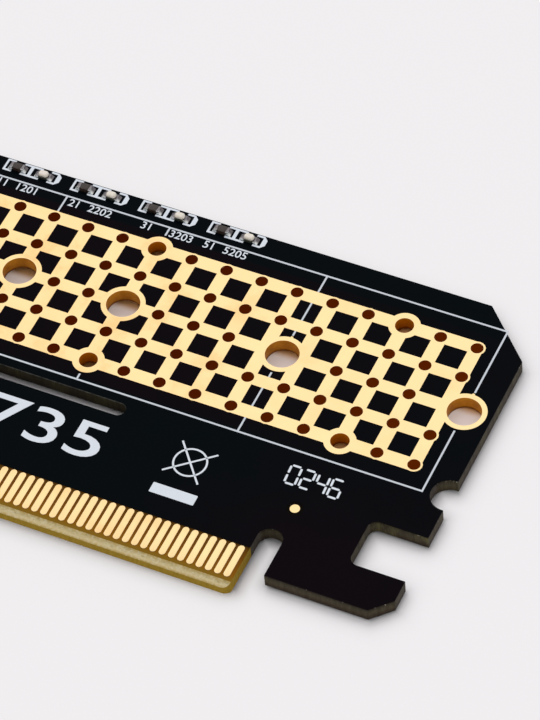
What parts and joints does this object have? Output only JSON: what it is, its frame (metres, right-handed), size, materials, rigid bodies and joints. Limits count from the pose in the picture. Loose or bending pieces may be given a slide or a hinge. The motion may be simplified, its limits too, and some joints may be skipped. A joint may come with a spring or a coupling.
{
  "type": "nvme adapter card",
  "caption": "Black expansion card that seats one M.2 drive: gold edge contacts with a hooked end, bare gold heat grid with standoff holes, drive socket and low-profile bracket.",
  "frame": {"origin": "middle of the key slot, on the bottom edge of the edge connector, half way through the board", "axes": "+X along the card away from the bracket, +Y out of the slot towards the lamps, +Z out of the component face"},
  "size_m": [0.1575, 0.0792, 0.0184],
  "materials": {
    "laminate": "glass-fibre laminate, sawn and milled edges",
    "solder_mask": "black, satin gloss",
    "gold": "thin gold plate, satin",
    "lining": "gold plate inside a drilled hole",
    "print": "white ink",
    "resistor_black": "black glaze",
    "solder": "bright tin",
    "lamp_carrier": "dark moulding",
    "lamp_lens": "milky clear resin",
    "capacitor_tan": "fired ceramic, dull",
    "socket_plastic": "black moulded polymer",
    "bracket_steel": "zinc-plated sheet",
    "screw_steel": "nickel-plated"
  },
  "bodies": {
    "root": {"circuit_board": "laminate", "front_solder_mask": "solder_mask", "back_solder_mask": "solder_mask", "thermal_grid": "gold", "standoff_hole_linings": "lining", "heatsink_hole_linings": "lining", "front_edge_contacts": "gold", "back_edge_contacts": "gold", "alignment_mark": "gold", "drive_outline_print": "print", "lamp_resistor_bodies": "resistor_black", "lamp_resistor_caps": "solder", "lamp_bases": "lamp_carrier", "lamp_terminals": "solder", "lamp_lenses": "lamp_lens", "capacitor_bodies": "capacitor_tan", "capacitor_caps": "solder", "socket_housing": "socket_plastic", "socket_upper_contacts": "gold", "socket_lower_contacts": "gold", "socket_hold_downs": "solder", "mounting_bracket": "bracket_steel", "bracket_screws": "screw_steel"}
  },
  "joints": []
}
